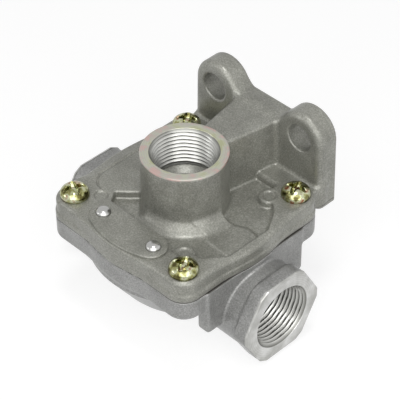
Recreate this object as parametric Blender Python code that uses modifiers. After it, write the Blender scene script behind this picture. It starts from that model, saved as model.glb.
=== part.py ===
"""Quick exhaust valve for a truck's air brakes: two aluminium die castings held by four screws.

The inlet boss stands on the upper casting, the two delivery ports lie opposite each other on the lower
one, and the exhaust opens downwards. A rubber diaphragm between the castings lifts off the exhaust seat.
Sizes below are in millimetres, measured from where the valve's axis crosses the joint between the
castings: +X along a delivery port, +Y towards the bracket's ears and +Z up the inlet port. The finished
pieces are moved so that the origin lies under the middle of the valve's outline, level with the exhaust face.
"""
import math

import bmesh
import bpy
from mathutils import Matrix

MM = 0.001
GAP = 0.3                     # clearance between pieces that touch on the real valve

# Flange shared by both castings
SCREW_PITCH = 49.8
CORNER_R = 6.5
BULGE_R = 32.9                # round swelling at the middle of each side
UPPER_FLANGE_T = 7.7
LOWER_FLANGE_T = 7.4
EDGE_ROUND = 1.2

RIM_X = 27.5                  # outside this the deck slopes down towards both ports
RIM_DROP = 1.2
RIM_SLOPE_W = 5.0
RIM_LENGTH = 18.0             # the slope ends beside the screws
RIM_PAST = 2                  # the slope's cutter is this many times as wide as the slope

# Deck of the upper casting: shallow front recess, deeper pockets beside the boss and the web
FRONT_DROP = 0.5
FRONT_RECESS = [(-2.0, -19.8), (-2.0, -10.0), (10.0, -4.0), (18.6, -8.5), (29.2, -9.0), (28.6, -11.0),
                (24.5, -16.6), (20.5, -18.2), (17.2, -21.2), (13.0, -21.8), (11.0, -19.8)]
POCKET_DROP = 2.6
POCKET_FRONT = [(-16.9, -15.1), (-16.6, -14.4), (-14.0, -12.0), (-12.7, -11.4), (-2.0, -10.0), (-2.0, -18.5),
                (-16.0, -18.5), (-16.9, -17.6)]
POCKET_RIGHT = [(4, 27.2), (4, 12), (12, 2), (20.5, 2.6), (23.6, 4.4), (28.8, 3.8), (29.0, 8.0), (27.7, 10.6),
                (23.7, 15.9), (21.5, 19.6), (19.3, 21.4), (18.2, 24.0), (18.2, 26.4)]
BUTTON_D = 7.2
BUTTON_AT = 19.0
BUTTON_DROP = 0.3
BUTTON_DISH_D = 4.4
BUTTON_DISH = 0.3
BUTTON_EDGE = 0.4

# Inlet boss with its M22 x 1.5 thread, drawn at the thread's inner diameter
BOSS_D = 28.4
BOSS_TOP = 25.9
BOSS_FILLET = 6.2
BOSS_FOOT = 1.5
FILLET_FROM_X = -2.0          # left of this the deck stays flat up to the boss
BOSS_EDGE = 0.4
THREAD_BORE_D = 20.4
MOUTH_D = 22.7
THREAD_DEPTH = 14.0
INLET_D = 14.0
CONE_RUN = 1.5                # length of the cone between a thread bore and its passage

# Bracket: one plate with two ears, and the web that ties it to the boss
EAR_PITCH = 38.0
EAR_R = 9.1
EAR_Z = 23.3
EAR_HOLE_D = 9.6
BRACKET_Y = 32.0
BRACKET_T = 8.0
BRACKET_BOTTOM = -1.5
BRACKET_ROUND = 2.2
WEB_TOP = 24.8
WEB_HALF_BOSS = 5.6
WEB_HALF_PLATE = 9.4
WEB_START = 13.0
VALLEY_R = 4.0

# Rating plate, blank, with its two drive rivets
PLATE_T = 0.9
PLATE_OUTER_R = 32.2
PLATE_INNER_Y = 19.4          # distance of its straight edge from the valve's axis
PLATE_END_X = 10.4            # centre of each round end
RIVET_SHIFT = 0.2             # rivets stand this share of the end radius beyond the end's centre
RIVET_HEAD_D = 5.0
RIVET_HEAD_H = 1.6
RIVET_SHANK_D = 2.6
RIVET_L = 4.0

# Screws, M5 pan heads with a cross recess
SCREW_D = 5.0
SCREW_L = 14.0
HEAD_D = 9.7
HEAD_H = 3.7
RECESS_W = 1.5
RECESS_SPAN = 5.6
RECESS_DEPTH = 2.2
SPOT_MARGIN = 1.0             # the flat face under each head is this much wider all round

# Lower casting
PORT_Z = -16.6
PORT_FACE_X = 43.4
COLLAR_L = 5.7
COLLAR_AF = 30.0
COLLAR_CORNER_AF = 32.6
COLLAR_EDGE = 0.4
NECK_D = 29.2
NECK_ROOT = 6.0
PORT_BORE_DEPTH = 14.0
PORT_PASSAGE_D = 14.0
SLAB_X = (27.2, 31.8)
SLAB_Y = 21.6
SLAB_BOTTOM = -17.6
SLAB_CORNER = 1.5
BOWL_R = 32.3
BOWL_SKIRT = -9.5
SKIRT_ROUND = 1.3
BOWL_FOOT_R = 19.5            # radius of the flat foot inside its wide rounding
BOWL_FOOT = -24.3
FOOT_ROUND = 4.8
FOOT_ROUND_FROM = -33         # angle at which that rounding leaves the bowl's cone
EXHAUST_ROOT = 2.0
EXHAUST_BOSS_D = 28.0
EXHAUST_FACE = -33.3
EXHAUST_EDGE = 0.8
EXHAUST_D = 13.0
EXHAUST_MOUTH_D = 20.0
EXHAUST_MOUTH_DEPTH = 5.0
EXHAUST_CONE = 2.0
SEAT_D = 19.0
SEAT_Z = -6.0
SEAT_WALL = 2.5
CHAMBER_D = 40.0
CHAMBER_FLOOR = -21.3
CHAMBER_CORNER = 3.0
POCKET_CORNER = 2.0
RIB_COUNT = 6
RIB_T = 2.0
RIB_DROP = 1.2                # how far the ribs stay below the exhaust seat
REAR_TRIM = 0.4               # clearance between the lower casting and the bracket's overhang
BOWL_TOP_IN = 3.0             # how far the bowl reaches up into the flange

# Diaphragm and the space it moves in
POCKET_D = 48.0
DIAPHRAGM_D = 43.0
DIAPHRAGM_T = 3.0
DIAPHRAGM_HUB_D = 17.0
DIAPHRAGM_HUB_H = 1.6
DIAPHRAGM_TRAVEL = 1.8
INLET_SEAT_D = 34.0
INLET_SEAT_W = 2.5
INLET_CHAMBER_TOP = 4.2
INLET_CHAMBER_CONE = 3.0
INLET_CHAMBER_CORNER = 2.0
GROOVE_TOP = 2.4

# Sealing ring between the castings
RING_D = 54.6
RING_GROOVE_W = 3.2
RING_GROOVE_DEPTH = 2.5
RING_SIDES = 10

SCREW_AT = SCREW_PITCH / 2
FLANGE_HALF = SCREW_AT + CORNER_R
FRONT_DECK = UPPER_FLANGE_T - FRONT_DROP
POCKET_FLOOR = UPPER_FLANGE_T - POCKET_DROP
LOWER_TOP = -GAP
LOWER_FLANGE_BOTTOM = LOWER_TOP - LOWER_FLANGE_T
DIAPHRAGM_BOTTOM = SEAT_Z + GAP
DIAPHRAGM_TOP = DIAPHRAGM_BOTTOM + DIAPHRAGM_T
INLET_SEAT_Z = DIAPHRAGM_TOP + DIAPHRAGM_TRAVEL + GAP
HOLE_R = SCREW_D / 2 + GAP
RIVET_HOLE_R = RIVET_SHANK_D / 2 + GAP
PLATE_LOW = UPPER_FLANGE_T + GAP
RIVET_UNDER = PLATE_LOW + PLATE_T + GAP
ORIGIN = (0.0, (BRACKET_Y + BRACKET_T - BULGE_R) / 2, EXHAUST_FACE)

# How far a cutter runs past the surface that it opens, and the segments of round pieces
PAST = 2.0
CUT_STEP = 0.4
BIG_SEGMENTS = 48
MID_SEGMENTS = 32
SMALL_SEGMENTS = 20

VALVE = None
CUTTERS = None


def clear_scene():
    for obj in list(bpy.data.objects):
        bpy.data.objects.remove(obj, do_unlink=True)


def new_collection(name):
    collection = bpy.data.collections.new(name)
    bpy.context.scene.collection.children.link(collection)
    return collection


def finish(name, hex_colour, roughness, metallic):
    """A Principled material in the colour of the real finish."""
    material = bpy.data.materials.new(name)
    material.use_nodes = True
    shader = material.node_tree.nodes["Principled BSDF"]
    channels = [int(hex_colour[i:i + 2], 16) / 255 for i in (0, 2, 4)]
    linear = [c / 12.92 if c <= 0.04045 else ((c + 0.055) / 1.055) ** 2.4 for c in channels]
    shader.inputs["Base Color"].default_value = (*linear, 1.0)
    shader.inputs["Roughness"].default_value = roughness
    shader.inputs["Metallic"].default_value = metallic
    return material


def add_object(name, mesh, collection, material=None):
    obj = bpy.data.objects.new(name, mesh)
    collection.objects.link(obj)
    if material is not None:
        mesh.materials.append(material)
    if collection is CUTTERS:
        obj.hide_render = True
        obj.display_type = "WIRE"
    return obj


def mesh_from(bm, name):
    mesh = bpy.data.meshes.new(name)
    bm.to_mesh(mesh)
    bm.free()
    return mesh


def turn_to(axis):
    """Rotation that lays the local +Z axis along X or Y, or leaves it on Z."""
    if axis == "X":
        return Matrix.Rotation(math.radians(90), 4, "Y")
    if axis == "Y":
        return Matrix.Rotation(math.radians(-90), 4, "X")
    return Matrix.Identity(4)


def cylinder(name, radius, start, end, centre=(0, 0), axis="Z", segments=MID_SEGMENTS, radius_end=None):
    """A cylinder or cone from start to end along an axis; centre holds the other two coordinates."""
    top = radius if radius_end is None else radius_end
    bm = bmesh.new()
    bmesh.ops.create_cone(bm, cap_ends=True, segments=segments, radius1=radius * MM, radius2=top * MM,
                          depth=(end - start) * MM)
    middle = (start + end) / 2
    place = {"X": (middle, centre[0], centre[1]), "Y": (centre[0], middle, centre[1]),
             "Z": (centre[0], centre[1], middle)}[axis]
    lay = Matrix.Translation([v * MM for v in place]) @ turn_to(axis)
    bmesh.ops.transform(bm, matrix=lay, verts=bm.verts)
    return add_object(name, mesh_from(bm, name), CUTTERS)


def box(name, low, high):
    bm = bmesh.new()
    bmesh.ops.create_cube(bm, size=1.0)
    size = [(b - a) * MM for a, b in zip(low, high)]
    middle = [(a + b) / 2 * MM for a, b in zip(low, high)]
    bmesh.ops.scale(bm, vec=size, verts=bm.verts)
    bmesh.ops.translate(bm, vec=middle, verts=bm.verts)
    return add_object(name, mesh_from(bm, name), CUTTERS)


def arc(centre, radius, start_deg, end_deg, steps):
    """Points on an arc, both ends included."""
    angles = [math.radians(start_deg + (end_deg - start_deg) * i / steps) for i in range(steps + 1)]
    return [(centre[0] + radius * math.cos(a), centre[1] + radius * math.sin(a)) for a in angles]


def apply_modifiers(obj):
    graph = bpy.context.evaluated_depsgraph_get()
    mesh = bpy.data.meshes.new_from_object(obj.evaluated_get(graph))
    obj.modifiers.clear()
    obj.data = mesh


def prism(name, points, low, high, axis="Z"):
    """A flat outline, drawn as a 2D curve, given thickness from low to high along an axis."""
    curve = bpy.data.curves.new(name, "CURVE")
    curve.dimensions = "2D"
    curve.fill_mode = "BOTH"
    curve.extrude = (high - low) / 2 * MM
    spline = curve.splines.new("POLY")
    spline.points.add(len(points) - 1)
    for point, (u, v) in zip(spline.points, points):
        point.co = (u * MM, v * MM, 0, 1)
    spline.use_cyclic_u = True
    drawn = bpy.data.objects.new(name + "_outline", curve)
    CUTTERS.objects.link(drawn)
    graph = bpy.context.evaluated_depsgraph_get()
    mesh = bpy.data.meshes.new_from_object(drawn.evaluated_get(graph))
    bpy.data.objects.remove(drawn, do_unlink=True)
    bm = bmesh.new()
    bm.from_mesh(mesh)
    bmesh.ops.remove_doubles(bm, verts=bm.verts, dist=0.01 * MM)
    bmesh.ops.dissolve_limit(bm, angle_limit=math.radians(0.5), verts=bm.verts, edges=bm.edges)
    bmesh.ops.recalc_face_normals(bm, faces=bm.faces)
    middle = (low + high) / 2 * MM
    turn = {"Z": Matrix.Identity(4), "Y": Matrix.Rotation(math.radians(90), 4, "X"),
            "X": Matrix.Rotation(math.radians(90), 4, "Z") @ Matrix.Rotation(math.radians(90), 4, "X")}[axis]
    shift = {"Z": (0, 0, middle), "Y": (0, middle, 0), "X": (middle, 0, 0)}[axis]
    bmesh.ops.transform(bm, matrix=Matrix.Translation(shift) @ turn, verts=bm.verts)
    return add_object(name, mesh_from(bm, name), CUTTERS)


def turned(name, profile, segments=BIG_SEGMENTS, collection=None, material=None):
    """A profile of (radius, height) points, from the top down its outer side, turned about the Z axis."""
    mesh = bpy.data.meshes.new(name)
    points = [(r * MM, 0.0, z * MM) for r, z in profile]
    edges = [(i, i + 1) for i in range(len(points) - 1)]
    if profile[0][0] > 0:
        edges.append((len(points) - 1, 0))
    mesh.from_pydata(points, edges, [])
    obj = add_object(name, mesh, collection or CUTTERS, material)
    screw = obj.modifiers.new("turn", "SCREW")
    screw.steps = screw.render_steps = segments
    screw.use_merge_vertices = True
    screw.merge_threshold = 0.00001
    screw.use_normal_calculate = False
    apply_modifiers(obj)
    return obj


def bevel(obj, width, segments, wanted):
    """Rounds the edges that wanted(edge) picks."""
    bm = bmesh.new()
    bm.from_mesh(obj.data)
    edges = [e for e in bm.edges if wanted(e)]
    bmesh.ops.bevel(bm, geom=edges, offset=width * MM, segments=segments, profile=0.5, affect="EDGES",
                    clamp_overlap=True)
    bm.to_mesh(obj.data)
    bm.free()


def outline_edges(axis, level, tolerance=0.01):
    """Picks the edges that lie in the plane where the coordinate of an axis has a given level."""
    def wanted(edge):
        return all(abs(v.co[axis] - level * MM) < tolerance * MM for v in edge.verts)
    return wanted


def combine(obj, operation, others):
    for other in others:
        step = obj.modifiers.new(other.name, "BOOLEAN")
        step.operation = operation
        step.solver = "EXACT"
        step.object = other
    return obj


def smooth(obj, angle=35):
    obj.data.shade_smooth()
    obj.data.set_sharp_from_angle(angle=math.radians(angle))


def settle(obj, name, material):
    """Applies the joins and cuts and moves the finished piece into the valve's collection."""
    apply_modifiers(obj)
    obj.name = name
    obj.data.name = name
    obj.hide_render = False
    obj.display_type = "TEXTURED"
    obj.data.materials.clear()
    obj.data.materials.append(material)
    CUTTERS.objects.unlink(obj)
    VALVE.objects.link(obj)
    smooth(obj)
    return obj


def flange(name, low, high, rounded_level):
    """Square with round corners about the screws, joined with a disc that swells out mid-side."""
    corners = [(1, 1), (-1, 1), (-1, -1), (1, -1)]
    points = []
    for index, (sx, sy) in enumerate(corners):
        points += arc((sx * SCREW_AT, sy * SCREW_AT), CORNER_R, 90 * index, 90 * index + 90, 6)
    square = prism(name, points, low, high)
    disc = cylinder(name + "_disc", BULGE_R, low, high, segments=BIG_SEGMENTS)
    for slab in (square, disc):
        bevel(slab, EDGE_ROUND, 2, outline_edges(2, rounded_level))
    return combine(square, "UNION", [disc])


def rim_wedge(side):
    """Cutter that slopes the rim of the deck down towards one delivery port."""
    far = RIM_X + RIM_PAST * RIM_SLOPE_W
    low = UPPER_FLANGE_T - RIM_PAST * RIM_DROP
    points = [(side * RIM_X, UPPER_FLANGE_T), (side * far, low), (side * far, BOSS_TOP)]
    return prism(f"rim_wedge_{side}", points, -RIM_LENGTH, RIM_LENGTH, axis="Y")


def plate_end():
    """Radius and place of a round end that touches the plate's straight edge and its outer arc."""
    radius = ((PLATE_OUTER_R ** 2 - PLATE_END_X ** 2 - PLATE_INNER_Y ** 2)
              / (2 * (PLATE_OUTER_R + PLATE_INNER_Y)))
    return radius, (PLATE_END_X, -PLATE_INNER_Y - radius)


def rivet_places():
    radius, (x, y) = plate_end()
    reach = x + RIVET_SHIFT * radius
    return {"left": (-reach, y), "right": (reach, y)}


def screw_positions():
    return {"front_left": (-SCREW_AT, -SCREW_AT), "front_right": (SCREW_AT, -SCREW_AT),
            "rear_right": (SCREW_AT, SCREW_AT), "rear_left": (-SCREW_AT, SCREW_AT)}


def screw_holes(name, low, high):
    return [cylinder(f"{name}_{where}", HOLE_R, low, high, at, segments=SMALL_SEGMENTS)
            for where, at in screw_positions().items()]


def bracket_outline():
    """Plate with two round-topped ears; a hollow of radius VALLEY_R joins each ear to the valley."""
    rise = WEB_TOP + VALLEY_R - EAR_Z
    reach = EAR_R + VALLEY_R
    run = math.sqrt(reach ** 2 - rise ** 2)
    meet = math.degrees(math.atan2(rise, run))
    ear_x = EAR_PITCH / 2
    side = ear_x + EAR_R
    points = [(side, BRACKET_BOTTOM)]
    points += arc((ear_x, EAR_Z), EAR_R, 0, 180 - meet, 12)
    points += arc((ear_x - run, WEB_TOP + VALLEY_R), VALLEY_R, -meet, -90, 4)
    points += arc((run - ear_x, WEB_TOP + VALLEY_R), VALLEY_R, -90, meet - 180, 4)
    points += arc((-ear_x, EAR_Z), EAR_R, meet, 180, 12)
    points.append((-side, BRACKET_BOTTOM))
    return points


def bracket():
    """The bracket's plate, its front edges rounded except along the bottom."""
    plate = prism("bracket", bracket_outline(), BRACKET_Y, BRACKET_Y + BRACKET_T, axis="Y")
    front = outline_edges(1, BRACKET_Y)
    bottom = outline_edges(2, BRACKET_BOTTOM)
    bevel(plate, BRACKET_ROUND, 3, lambda edge: front(edge) and not bottom(edge))
    return plate


def boss_with_fillet():
    """The inlet boss as it stands on the front deck, with its wide fillet all round."""
    r = BOSS_D / 2
    profile = [(0, BOSS_TOP), (r - BOSS_EDGE, BOSS_TOP), (r, BOSS_TOP - BOSS_EDGE)]
    profile += arc((r + BOSS_FILLET, FRONT_DECK + BOSS_FILLET), BOSS_FILLET, 180, 270, 6)
    profile += [(r + BOSS_FILLET, POCKET_FLOOR - PAST), (0, POCKET_FLOOR - PAST)]
    return turned("boss_with_fillet", profile)


def boss_in_pockets():
    """The plain part of the boss, put back where the pockets cut the wide fillet away."""
    r = BOSS_D / 2 - BOSS_EDGE / 2
    low = POCKET_FLOOR - EDGE_ROUND
    return turned("boss_in_pockets", [(0, BOSS_TOP - PAST), (r, BOSS_TOP - PAST), (r, POCKET_FLOOR + BOSS_FOOT),
                                      (r + BOSS_FOOT, low), (0, low)])


def buttons():
    """Round buttons beside the screws, each with a shallow dish in its top."""
    top = UPPER_FLANGE_T - BUTTON_DROP
    made = []
    for index, (sx, sy) in enumerate([(-1, -1), (1, -1), (1, 1), (-1, 1)]):
        r = BUTTON_D / 2
        dish = BUTTON_DISH_D / 2
        profile = [(0, top - BUTTON_DISH), (dish, top - BUTTON_DISH), (dish, top), (r - BUTTON_EDGE, top),
                   (r, top - BUTTON_EDGE), (r, POCKET_FLOOR - PAST), (0, POCKET_FLOOR - PAST)]
        button = turned(f"button_{index}", profile, SMALL_SEGMENTS)
        button.data.transform(Matrix.Translation((sx * BUTTON_AT * MM, sy * BUTTON_AT * MM, 0)))
        made.append(button)
    return made


def deck_cutters():
    """Flat left side, front recess and three pockets; the rear left pocket mirrors the right one.

    Each ends at its own height below the top of the boss, so that no two upper ends share a plane.
    """
    high = BOSS_TOP - 2 * PAST
    mirrored = [(-x, y) for x, y in reversed(POCKET_RIGHT)]
    return [box("flat_left", (-BULGE_R, -BULGE_R, UPPER_FLANGE_T),
                (FILLET_FROM_X, BRACKET_Y, high + CUT_STEP)),
            prism("front_recess", FRONT_RECESS, FRONT_DECK, high),
            prism("pocket_front", POCKET_FRONT, POCKET_FLOOR, high + 2 * CUT_STEP),
            prism("pocket_right", POCKET_RIGHT, POCKET_FLOOR, high + 3 * CUT_STEP),
            prism("pocket_left", mirrored, POCKET_FLOOR, high + 3 * CUT_STEP)]


def inlet_path():
    """Mouth, thread bore, passage and the chamber that the inlet seat surrounds."""
    bore = THREAD_BORE_D / 2
    passage = INLET_D / 2
    chamber = INLET_SEAT_D / 2
    bore_end = BOSS_TOP - THREAD_DEPTH
    return turned("inlet_path", [
        (0, BOSS_TOP + PAST), (MOUTH_D / 2 + PAST, BOSS_TOP + PAST), (MOUTH_D / 2, BOSS_TOP),
        (bore, BOSS_TOP - (MOUTH_D - THREAD_BORE_D) / 2), (bore, bore_end), (passage, bore_end - CONE_RUN),
        (passage, INLET_CHAMBER_TOP + INLET_CHAMBER_CONE),
        (chamber - INLET_CHAMBER_CORNER, INLET_CHAMBER_TOP),
        (chamber, INLET_CHAMBER_TOP - INLET_CHAMBER_CORNER),
        (chamber, LOWER_FLANGE_BOTTOM), (0, LOWER_FLANGE_BOTTOM)])


def upper_housing(material):
    body = flange("upper_flange", 0, UPPER_FLANGE_T, UPPER_FLANGE_T)
    deep = POCKET_FLOOR - PAST
    web = prism("web", [(-WEB_HALF_BOSS, PAST), (WEB_HALF_BOSS, PAST), (WEB_HALF_BOSS, WEB_START),
                        (WEB_HALF_PLATE, BRACKET_Y + PAST), (-WEB_HALF_PLATE, BRACKET_Y + PAST),
                        (-WEB_HALF_BOSS, WEB_START)], deep, WEB_TOP)
    seat_r = INLET_SEAT_D / 2 + INLET_SEAT_W
    spigot = cylinder("inlet_seat", seat_r + CONE_RUN, INLET_SEAT_Z, GROOVE_TOP + 0.5, segments=BIG_SEGMENTS)
    groove = turned("air_groove", [(seat_r, GROOVE_TOP), (POCKET_D / 2, GROOVE_TOP),
                                   (POCKET_D / 2, LOWER_FLANGE_BOTTOM), (seat_r, LOWER_FLANGE_BOTTOM)])
    spot_faces = [cylinder(f"spot_face_{where}", HEAD_D / 2 + SPOT_MARGIN, UPPER_FLANGE_T,
                           UPPER_FLANGE_T + HEAD_H, at) for where, at in screw_positions().items()]
    ears = [cylinder(f"ear_hole_{side}", EAR_HOLE_D / 2, BRACKET_Y - PAST, BRACKET_Y + BRACKET_T + PAST,
                     (side * EAR_PITCH / 2, EAR_Z), axis="Y") for side in (-1, 1)]
    rivets = [cylinder(f"rivet_hole_{side}", RIVET_HOLE_R, RIVET_UNDER - RIVET_L - GAP,
                       UPPER_FLANGE_T + PAST, at, segments=SMALL_SEGMENTS)
              for side, at in rivet_places().items()]

    combine(body, "UNION", [boss_with_fillet()])
    combine(body, "DIFFERENCE", deck_cutters() + [rim_wedge(-1), rim_wedge(1)])
    combine(body, "UNION", [boss_in_pockets(), web, bracket(), spigot] + buttons())
    combine(body, "DIFFERENCE", [groove, inlet_path()] + spot_faces
            + screw_holes("upper_hole", -PAST, UPPER_FLANGE_T + PAST) + ears + rivets)
    return settle(body, "upper_housing", material)


def collar_outline():
    """Hexagon across the flats of the collar, its corners cut by a second, wider hexagon."""
    flat = COLLAR_AF / 2
    cut = COLLAR_CORNER_AF / 2
    half = (flat / math.cos(math.radians(30)) - cut) / math.tan(math.radians(30))
    points = []
    for corner in range(6):
        a = math.radians(60 * corner)
        for way in (-1, 1):
            across = way * half
            points.append((cut * math.cos(a) - across * math.sin(a),
                           PORT_Z + cut * math.sin(a) + across * math.cos(a)))
    return points


def port(side):
    """Neck, spanner collar and the slab behind the neck of one delivery port."""
    collar_in = PORT_FACE_X - COLLAR_L
    low, high = sorted((side * collar_in, side * PORT_FACE_X))
    collar = prism(f"collar_{side}", collar_outline(), low, high, axis="X")
    bevel(collar, COLLAR_EDGE, 1, outline_edges(0, side * PORT_FACE_X))
    low, high = sorted((side * NECK_ROOT, side * (collar_in + 1)))
    neck = cylinder(f"neck_{side}", NECK_D / 2, low, high, (0, PORT_Z), axis="X")
    low, high = sorted((side * SLAB_X[0], side * SLAB_X[1]))
    slab = box(f"slab_{side}", (low, -SLAB_Y, SLAB_BOTTOM), (high, SLAB_Y, LOWER_FLANGE_BOTTOM + PAST))
    bevel(slab, SLAB_CORNER, 2, outline_edges(2, SLAB_BOTTOM))
    return [neck, collar, slab]


def port_bore(side):
    """Mouth, thread bore and passage of one delivery port, turned about the port's axis."""
    face = PORT_FACE_X
    bore = THREAD_BORE_D / 2
    passage = PORT_PASSAGE_D / 2
    end = face - PORT_BORE_DEPTH
    stop = SEAT_D / 2 + SEAT_WALL
    cut = turned(f"port_bore_{side}", [
        (0, face + PAST), (MOUTH_D / 2 + PAST, face + PAST), (MOUTH_D / 2, face),
        (bore, face - (MOUTH_D - THREAD_BORE_D) / 2), (bore, end), (passage, end - CONE_RUN),
        (passage, stop), (0, stop)], MID_SEGMENTS)
    lay = Matrix.Rotation(math.radians(90 * side), 4, "Y")
    cut.data.transform(Matrix.Translation((0, 0, PORT_Z * MM)) @ lay)
    return cut


def bowl():
    """Skirt under the flange, the cone below it and the exhaust boss."""
    boss_r = EXHAUST_BOSS_D / 2
    return turned("bowl", [
        (0, LOWER_FLANGE_BOTTOM + BOWL_TOP_IN), (BOWL_R, LOWER_FLANGE_BOTTOM + BOWL_TOP_IN)]
        + arc((BOWL_R - SKIRT_ROUND, BOWL_SKIRT), SKIRT_ROUND, 0, -90, 2)
        + arc((BOWL_FOOT_R, BOWL_FOOT + FOOT_ROUND), FOOT_ROUND, FOOT_ROUND_FROM, -90, 3)
        + arc((boss_r + EXHAUST_ROOT, BOWL_FOOT - EXHAUST_ROOT), EXHAUST_ROOT, 90, 180, 2)
        + [(boss_r, EXHAUST_FACE + EXHAUST_EDGE), (boss_r - EXHAUST_EDGE, EXHAUST_FACE), (0, EXHAUST_FACE)])


def exhaust_path():
    """Bore through the exhaust seat, opening into a wider mouth below."""
    bore = EXHAUST_D / 2
    mouth = EXHAUST_MOUTH_D / 2
    return turned("exhaust_path", [
        (0, SEAT_Z + PAST), (bore, SEAT_Z + PAST), (bore, EXHAUST_FACE + EXHAUST_MOUTH_DEPTH + EXHAUST_CONE),
        (mouth, EXHAUST_FACE + EXHAUST_MOUTH_DEPTH), (mouth, EXHAUST_FACE + EXHAUST_EDGE),
        (mouth + 2 * EXHAUST_EDGE, EXHAUST_FACE - EXHAUST_EDGE), (0, EXHAUST_FACE - EXHAUST_EDGE)])


def ribs():
    """Ribs between the exhaust seat and the chamber's wall."""
    made = []
    for index in range(RIB_COUNT):
        rib = box(f"rib_{index}", (SEAT_D / 2 - 1, -RIB_T / 2, CHAMBER_FLOOR - 1),
                  (CHAMBER_D / 2 + 1, RIB_T / 2, SEAT_Z - RIB_DROP))
        rib.data.transform(Matrix.Rotation(math.radians(360 / RIB_COUNT * (index + 0.5)), 4, "Z"))
        made.append(rib)
    return made


def lower_housing(material):
    body = flange("lower_flange", LOWER_FLANGE_BOTTOM, LOWER_TOP, LOWER_FLANGE_BOTTOM)
    pocket_floor = SEAT_Z - RIB_DROP - PAST
    seat_r = SEAT_D / 2
    wall_r = CHAMBER_D / 2
    chamber = turned("chamber", [
        (seat_r, LOWER_TOP + PAST), (POCKET_D / 2, LOWER_TOP + PAST),
        (POCKET_D / 2, pocket_floor + POCKET_CORNER), (wall_r, pocket_floor),
        (wall_r, CHAMBER_FLOOR + CHAMBER_CORNER), (wall_r - CHAMBER_CORNER, CHAMBER_FLOOR),
        (seat_r, CHAMBER_FLOOR)])
    seat_top = cylinder("seat_top", wall_r, SEAT_Z, LOWER_TOP + 2 * PAST, segments=BIG_SEGMENTS)
    groove_in = (RING_D - RING_GROOVE_W) / 2
    groove_out = (RING_D + RING_GROOVE_W) / 2
    groove_floor = LOWER_TOP - RING_GROOVE_DEPTH
    ring_groove = turned("ring_groove", [(groove_in, PAST), (groove_out, PAST), (groove_out, groove_floor),
                                         (groove_in, groove_floor)])
    rear = BRACKET_Y - REAR_TRIM
    widest = max(BULGE_R, BOWL_R, FLANGE_HALF) + PAST
    trim = box("rear_trim", (-widest, rear, EXHAUST_FACE), (widest, widest, LOWER_TOP + PAST))

    combine(body, "UNION", [bowl()] + port(-1) + port(1))
    combine(body, "DIFFERENCE", [chamber, seat_top, ring_groove])
    combine(body, "UNION", ribs())
    combine(body, "DIFFERENCE", [exhaust_path(), port_bore(-1), port_bore(1), trim]
            + screw_holes("lower_hole", LOWER_FLANGE_BOTTOM - PAST, PAST))
    return settle(body, "lower_housing", material)


def diaphragm(material):
    """Moulded rubber disc: a flat underside for the exhaust seat, a domed hub and a thinned rim."""
    r = DIAPHRAGM_D / 2
    hub = DIAPHRAGM_HUB_D / 2
    top, bottom = DIAPHRAGM_TOP, DIAPHRAGM_BOTTOM
    profile = [(0, top + DIAPHRAGM_HUB_H), (hub * 0.45, top + DIAPHRAGM_HUB_H), (hub * 0.8, top + 0.8),
               (hub, top - 0.5), (hub + 1.5, top - 1.0), (r - 5, top - 0.8), (r - 4, top), (r - 0.6, top),
               (r, top - 0.6), (r, bottom + 0.9), (r - 0.6, bottom + 0.3), (r - 3, bottom), (0, bottom)]
    obj = turned("diaphragm", profile, BIG_SEGMENTS, VALVE, material)
    smooth(obj)
    return obj


def sealing_ring(material):
    """Ring pressed a little oval between the groove's floor and the upper casting."""
    floor = LOWER_TOP - RING_GROOVE_DEPTH
    height = -floor - 2 * GAP
    width = RING_GROOVE_W - 2 * GAP
    profile = [(RING_D / 2 + width / 2 * math.cos(a), floor / 2 + height / 2 * math.sin(a))
               for a in (math.radians(90 - 360 / RING_SIDES * i) for i in range(RING_SIDES))]
    obj = turned("sealing_ring", profile, BIG_SEGMENTS, VALVE, material)
    smooth(obj, 60)
    return obj


def screw(where, at, material):
    under = UPPER_FLANGE_T + GAP
    top = under + HEAD_H
    r = HEAD_D / 2
    shank = SCREW_D / 2
    profile = [(0, top), (1.6, top - 0.05), (2.8, top - 0.45), (3.8, top - 1.2), (r - 0.25, top - 2.1),
               (r, top - 2.8), (r - 0.05, under + 0.25), (r - 0.3, under), (shank, under),
               (shank, under - SCREW_L + 0.8), (shank - 0.8, under - SCREW_L), (0, under - SCREW_L)]
    body = turned(f"screw_{where}_blank", profile, SMALL_SEGMENTS)
    half, width, floor = RECESS_SPAN / 2, RECESS_W / 2, top - RECESS_DEPTH
    arms = [box(f"recess_{where}_x", (-half, -width, floor), (half, width, top + 1)),
            box(f"recess_{where}_y", (-width, -half, floor), (width, half, top + 1))]
    combine(body, "DIFFERENCE", arms)
    obj = settle(body, f"screw_{where}", material)
    obj.location = (at[0] * MM, at[1] * MM, 0)
    return obj


def rating_plate(material):
    """Blank plate: a straight inner edge, round ends and an outer edge about the axis."""
    radius, (x, y) = plate_end()
    reach = math.degrees(math.atan2(y, x))
    points = arc((0, 0), PLATE_OUTER_R, -180 - reach, reach, 12)
    points += arc((x, y), radius, reach, 90, 10)[1:]
    points += arc((-x, y), radius, 90, 180 - reach, 10)[:-1]
    body = prism("plate_blank", points, PLATE_LOW, PLATE_LOW + PLATE_T)
    holes = [cylinder(f"plate_hole_{side}", RIVET_HOLE_R, PLATE_LOW - PAST, PLATE_LOW + PLATE_T + PAST, at,
                      segments=SMALL_SEGMENTS) for side, at in rivet_places().items()]
    combine(body, "DIFFERENCE", holes)
    return settle(body, "rating_plate", material)


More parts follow.
